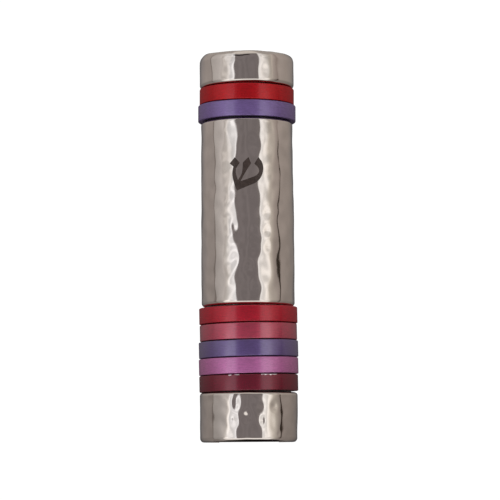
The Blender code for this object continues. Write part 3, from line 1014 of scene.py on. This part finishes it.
# A black line at the right leans with its elevation, and is narrower higher up. Its taper is
# in degrees of half width for each radian of elevation.
LINE_AZIMUTH = 81.2
LINE_LEAN = 0.35
LINE_HALF_WIDTH = 2.2
LINE_TAPER = 6.0
LINE_EDGES = (-1, 1, 0.3)
LINE_ELEVATIONS = (-16, 8, 1)
LINE_COLOUR = (0.02, 0.015, 0.01, 1.0)

ABOVE = (38, 200, 5)
OVERHEAD = (0.47, 0.44, 0.42)
FRONT = (-42, 36, 8)
OVERHEAD_FRONT = (0.80, 0.76, 0.72)
BELOW = (-200, -42, 8)
UNDERFOOT = (0.34, 0.31, 0.30)
TABLE_WINDOW = ((-62, 58, 5), (-41, -14, 3))
TABLE = (1.22, 1.19, 1.17)
STRIP_WINDOW = ((-36, 8, 5), (24, 32, 2))
STRIP_COLOUR = (0.01, 0.008, 0.007, 1.0)

# The floor behind the object, by azimuths from behind, and a black disc almost straight below.
REAR_WINDOW = ((-60, 60, 12), (-200, -42, 4))
REAR_FLOOR = (0.07, 0.06, 0.06)
DISC_AXIS = (0.11, 0.0, -1.0)
DISC_SPAN = (-10, 36, 3)
DISC_COLOUR = (0.004, 0.003, 0.003, 1.0)

# The white that the camera sees behind the object.
BACKDROP = 1.05


def panel_light(tree):
    """What the metal sees, over PANEL_GAIN: panels at the sides, a dim camera side with a bright
    table below it and a dark strip above it, and plainer light overhead and underfoot."""
    direction = tree.add("ShaderNodeTexCoord").outputs["Generated"]
    parts = tree.add("ShaderNodeSeparateXYZ", {"Vector": direction}).outputs
    azimuth = tree.math("ARCTAN2", parts["X"], tree.math("MULTIPLY", parts["Y"], -1.0))
    azimuth_back = tree.math("ARCTAN2", parts["X"], parts["Y"])
    elevation = tree.math("ARCSINE", parts["Z"])

    def within(value, low, high, blur):
        """1 where low < value < high, with soft ends."""
        low, high, blur = math.radians(low), math.radians(high), math.radians(blur)
        rising = tree.step(value, low - blur, low + blur)
        return tree.math("MULTIPLY", rising, tree.step(value, high + blur, high - blur))

    def window(azimuths, elevations, around=azimuth):
        """1 within both spans."""
        return tree.math("MULTIPLY", within(around, *azimuths), within(elevation, *elevations))

    def plain(colour):
        return (*(part / PANEL_GAIN for part in colour), 1.0)

    def times(colour, where, factor):
        """The colour multiplied by factor where wanted."""
        share = tree.mix(where, (1.0, 1.0, 1.0, 1.0), factor)
        return tree.mix(1.0, colour, share, "MULTIPLY")

    turn = tree.math("MULTIPLY_ADD", azimuth, 1 / math.tau, 0.5)
    colour = tree.ramp(turn, [(0.5 + degrees / 360, plain(light)[:3]) for degrees, light in PANELS])

    lamps = within(azimuth, *LAMPS)
    blots = tree.noise(scaled(tree, direction, BLOT_SCALE), 1.0, 0.0)
    blots = tree.spread(blots, *BLOT_LIGHT, *BLOT_NOISE)
    faint = tree.math("POWER", blots, DIM_BLOT_POWER)
    colour = times(colour, lamps, tree.mix(within(azimuth, *DIM_FRONT), blots, faint))
    sides = tree.math("SUBTRACT", 1.0, lamps)
    rise = tree.spread(elevation, *SIDE_LIGHT, *(math.radians(end) for end in SIDE_RISE))
    colour = times(colour, sides, rise)
    for azimuths, elevations, factor in PATCHES:
        colour = times(colour, window(azimuths, elevations), (factor, factor, factor, 1.0))

    centre = tree.math("MULTIPLY_ADD", elevation, LINE_LEAN, math.radians(LINE_AZIMUTH))
    half = tree.math("MULTIPLY_ADD", elevation, -LINE_TAPER, LINE_HALF_WIDTH)
    across = tree.math("DIVIDE", tree.math("SUBTRACT", azimuth, centre), half)
    line = tree.math("MULTIPLY", within(across, *LINE_EDGES), within(elevation, *LINE_ELEVATIONS))
    colour = tree.mix(line, colour, LINE_COLOUR)

    above = tree.mix(within(azimuth, *FRONT), plain(OVERHEAD), plain(OVERHEAD_FRONT))
    colour = tree.mix(within(elevation, *ABOVE), colour, above)
    colour = tree.mix(within(elevation, *BELOW), colour, plain(UNDERFOOT))
    colour = tree.mix(window(*TABLE_WINDOW), colour, plain(TABLE))
    colour = tree.mix(window(*STRIP_WINDOW), colour, STRIP_COLOUR)
    colour = tree.mix(window(*REAR_WINDOW, azimuth_back), colour, plain(REAR_FLOOR))
    inputs = {0: direction, 1: Vector(DISC_AXIS).normalized()}
    facing = tree.add("ShaderNodeVectorMath", inputs, operation="DOT_PRODUCT").outputs["Value"]
    return tree.mix(within(tree.math("ARCCOSINE", facing), *DISC_SPAN), colour, DISC_COLOUR)


def light_world():
    """The camera sees white, and everything else the panels."""
    world = bpy.data.worlds.new("studio")
    bpy.context.scene.world = world
    world.use_nodes = True
    world.node_tree.nodes.clear()
    tree = Tree(world.node_tree)
    lit = {"Color": panel_light(tree), "Strength": PANEL_GAIN}
    seen = {"Color": (1.0, 1.0, 1.0, 1.0), "Strength": BACKDROP}
    inputs = {
        "Fac": tree.add("ShaderNodeLightPath").outputs["Is Camera Ray"],
        1: tree.add("ShaderNodeBackground", lit).outputs[0],
        2: tree.add("ShaderNodeBackground", seen).outputs[0],
    }
    mixed = tree.add("ShaderNodeMixShader", inputs).outputs["Shader"]
    tree.add("ShaderNodeOutputWorld", {"Surface": mixed})


def add_floor():
    """A pale floor, out of the shine of the metal."""
    mesh = bpy.data.meshes.new("floor")
    shape = bmesh.new()
    bmesh.ops.create_grid(shape, x_segments=1, y_segments=1, size=FLOOR_SIZE / 2)
    shape.to_mesh(mesh)
    shape.free()
    floor = bpy.data.objects.new("floor", mesh)
    bpy.context.scene.collection.objects.link(floor)
    floor.location = (0.0, 0.0, -FLOOR_DROP)
    material, shader, tree, place = new_material("floor")
    tree.set(
        shader.inputs["Base Color"],
        tree.ramp(tree.noise(place, 40.0), ((0.3, 0.815), (0.7, 0.825))),
    )
    shader.inputs["Roughness"].default_value = 0.9
    shader.inputs["Emission Color"].default_value = (1.0, 0.99, 0.98, 1.0)
    shader.inputs["Emission Strength"].default_value = FLOOR_GLOW
    mesh.materials.append(material)
    floor.visible_glossy = False


def add_camera():
    data = bpy.data.cameras.new("camera")
    data.lens = CAMERA_LENS
    data.clip_start = 0.01
    camera = bpy.data.objects.new("camera", data)
    bpy.context.scene.collection.objects.link(camera)
    camera.location = (CAMERA_SIDE, AXIS.y - CAMERA_DISTANCE, FOOT + CAMERA_HEIGHT)
    look = Matrix.Rotation(math.radians(90 + CAMERA_PITCH), 3, "X")
    roll = Matrix.Rotation(math.radians(CAMERA_ROLL), 3, "Z")
    camera.rotation_euler = (look @ roll).to_euler()
    bpy.context.scene.camera = camera


add_camera()
light_world()
add_floor()
bpy.context.scene.view_settings.view_transform = "Standard"

metal = hammered_metal()
make_base(metal)
face = body_surface()
make_body(metal, face)
make_shin(enamel(), face)
make_cap(metal)
for ring_node in RING_FINISH:
    make_ring(ring_node)
make_stopper(rubber())
make_scroll(parchment())
make_tape(foam())

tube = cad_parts["core_tube"]
tube.data.materials.clear()
tube.data.materials.append(extruded_aluminium())
